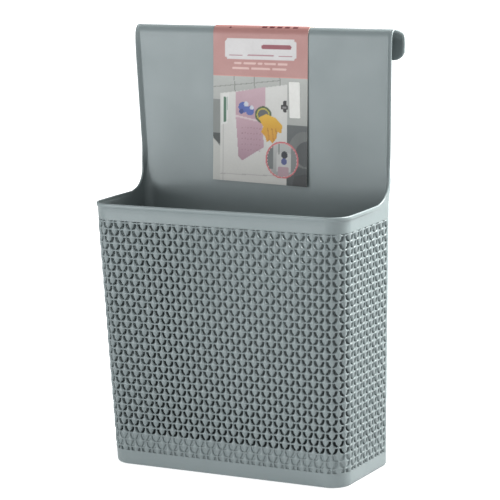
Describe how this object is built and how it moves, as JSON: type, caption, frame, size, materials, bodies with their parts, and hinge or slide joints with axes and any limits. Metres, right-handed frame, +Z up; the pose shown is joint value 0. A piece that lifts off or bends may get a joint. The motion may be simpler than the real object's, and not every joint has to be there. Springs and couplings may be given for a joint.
{
  "type": "over-door waste bin",
  "caption": "Over-door hanging waste bin: a narrow tapered tub with woven-look perforated walls, a tall plain back panel and a full-width hook for a cabinet door, with a folded card.",
  "frame": {"origin": "centre of the footprint of the whole object, on the plane of the underside", "axes": "+Z up, +Y towards the door that the bin hangs on, -Y the front, +X to the right seen from the front"},
  "size_m": [0.2692, 0.1276, 0.4028],
  "materials": {
    "bin_plastic": "satin grey-green polypropylene",
    "printed_card": "coated, printed",
    "sticker_paper": "plain white, matt"
  },
  "bodies": {
    "bin": {"floor_panel": "bin_plastic", "front_wall": "bin_plastic", "left_wall": "bin_plastic", "right_wall": "bin_plastic", "front_left_corner": "bin_plastic", "front_right_corner": "bin_plastic", "rear_left_corner": "bin_plastic", "rear_right_corner": "bin_plastic", "back_wall": "bin_plastic", "rim_lip": "bin_plastic", "left_sweep": "bin_plastic", "right_sweep": "bin_plastic", "hanging_panel": "bin_plastic", "left_edge_flange": "bin_plastic", "right_edge_flange": "bin_plastic", "hook_crown": "bin_plastic", "hook_flap": "bin_plastic"},
    "label": {"card_front": "printed_card", "card_fold": "printed_card", "card_tail": "printed_card", "blank_sticker": "sticker_paper"}
  },
  "joints": [
    {"name": "card_lift", "type": "slide", "parent": "bin", "child": "label", "axis": [0, 0, 1], "range_m": [0, 0.16]}
  ]
}
